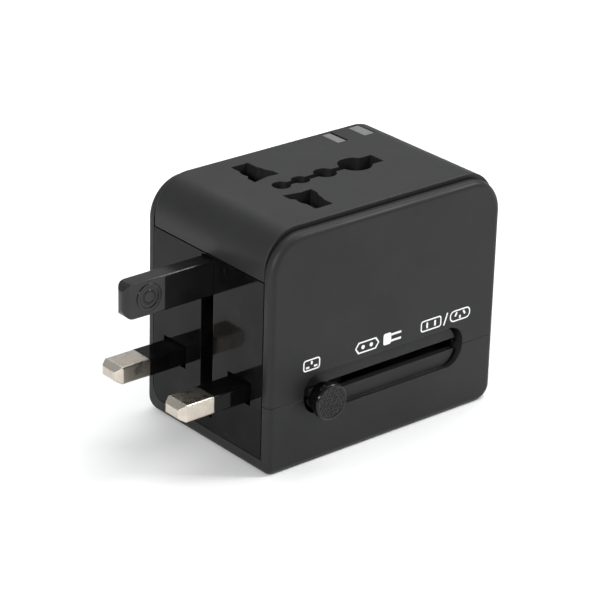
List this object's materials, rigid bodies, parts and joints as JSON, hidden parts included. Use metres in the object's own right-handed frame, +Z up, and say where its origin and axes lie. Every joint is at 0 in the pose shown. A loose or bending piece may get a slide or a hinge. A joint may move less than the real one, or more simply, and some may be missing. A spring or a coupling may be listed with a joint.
{
  "type": "universal travel adapter",
  "caption": "Cube-shaped travel power adapter with slide-out UK and USA/Australia plugs, a fold-out Europe plug and a universal socket on top.",
  "frame": {"origin": "centre of the casing's flat base", "axes": "+X from the UK plug face to the USA/Australia face, -Y towards the selector knob, +Z up to the socket"},
  "size_m": [0.0867, 0.0468, 0.0548],
  "materials": {
    "soft_charcoal": "soft-touch matte",
    "gloss_black": "polished",
    "smoked_plastic": "polished",
    "pin_metal": "nickel plated, polished",
    "contact_brass": "bright",
    "bright_steel": "plated",
    "inner_nylon": "moulded matte",
    "window_frost": "frosted",
    "board_green": "solder mask",
    "lamp_resin": "clear"
  },
  "bodies": {
    "casing": {"lower_housing": "soft_charcoal", "upper_housing": "soft_charcoal", "casing_screws": "bright_steel", "socket_cover": "soft_charcoal", "uk_pin_panel": "gloss_black", "us_pin_panel": "gloss_black", "indicator_window_inner": "window_frost", "indicator_window_outer": "window_frost", "indicator_board": "board_green", "indicator_leds": "lamp_resin", "socket_insert": "inner_nylon", "socket_contact_line": "contact_brass", "socket_contact_neutral": "contact_brass", "bus_rail_line": "contact_brass", "bus_rail_neutral": "contact_brass", "shutter_springs": "bright_steel", "earth_pivot_pin": "bright_steel", "euro_pivot_pin": "bright_steel"},
    "carriage": {"carriage_base": "inner_nylon", "carriage_cover": "inner_nylon", "carriage_screws": "bright_steel", "uk_pin_line": "pin_metal", "uk_pin_neutral": "pin_metal", "uk_sleeve_line": "gloss_black", "uk_sleeve_neutral": "gloss_black", "wiper_line": "contact_brass", "wiper_neutral": "contact_brass", "knob_spring": "bright_steel"},
    "knob": {"knob_cap": "soft_charcoal", "knob_stem": "inner_nylon"},
    "blade_line": {"us_blade_line": "pin_metal", "blade_hub_line": "inner_nylon"},
    "blade_neutral": {"us_blade_neutral": "pin_metal", "blade_hub_neutral": "inner_nylon"},
    "earth": {"earth_pin": "smoked_plastic"},
    "euro_plug": {"euro_frame": "inner_nylon", "euro_pin_left": "pin_metal", "euro_pin_right": "pin_metal"},
    "shutter": {"socket_shutter": "inner_nylon"}
  },
  "joints": [
    {"name": "carriage_slide", "type": "slide", "parent": "casing", "child": "carriage", "axis": [1, 0, 0], "range_m": [0, 0.036]},
    {"name": "knob_press", "type": "slide", "parent": "carriage", "child": "knob", "axis": [0, 1, 0], "range_m": [0, 0.0015], "stiffness_N_per_m": 600, "springref_m": -0.002, "deforming": ["knob_spring"]},
    {"name": "blade_line_turn", "type": "hinge", "parent": "carriage", "child": "blade_line", "pos_m": [-0.0088, -0.00635, 0.017], "axis": [-1, 0, 0], "range_deg": [0, 30]},
    {"name": "blade_neutral_turn", "type": "hinge", "parent": "carriage", "child": "blade_neutral", "pos_m": [-0.0088, 0.00635, 0.017], "axis": [1, 0, 0], "range_deg": [0, 30]},
    {"name": "earth_pin_fold", "type": "hinge", "parent": "casing", "child": "earth", "pos_m": [-0.0276, 0, 0.0391], "axis": [0, -1, 0], "range_deg": [0, 90]},
    {"name": "euro_plug_fold", "type": "hinge", "parent": "casing", "child": "euro_plug", "pos_m": [0.0154, 0.0106, 0.00375], "axis": [1, 0, 0], "range_deg": [0, 90]},
    {"name": "shutter_slide", "type": "slide", "parent": "casing", "child": "shutter", "axis": [-1, 0, 0], "range_m": [0, 0.0082], "stiffness_N_per_m": 60, "springref_m": -0.004, "deforming": ["shutter_springs"]}
  ]
}
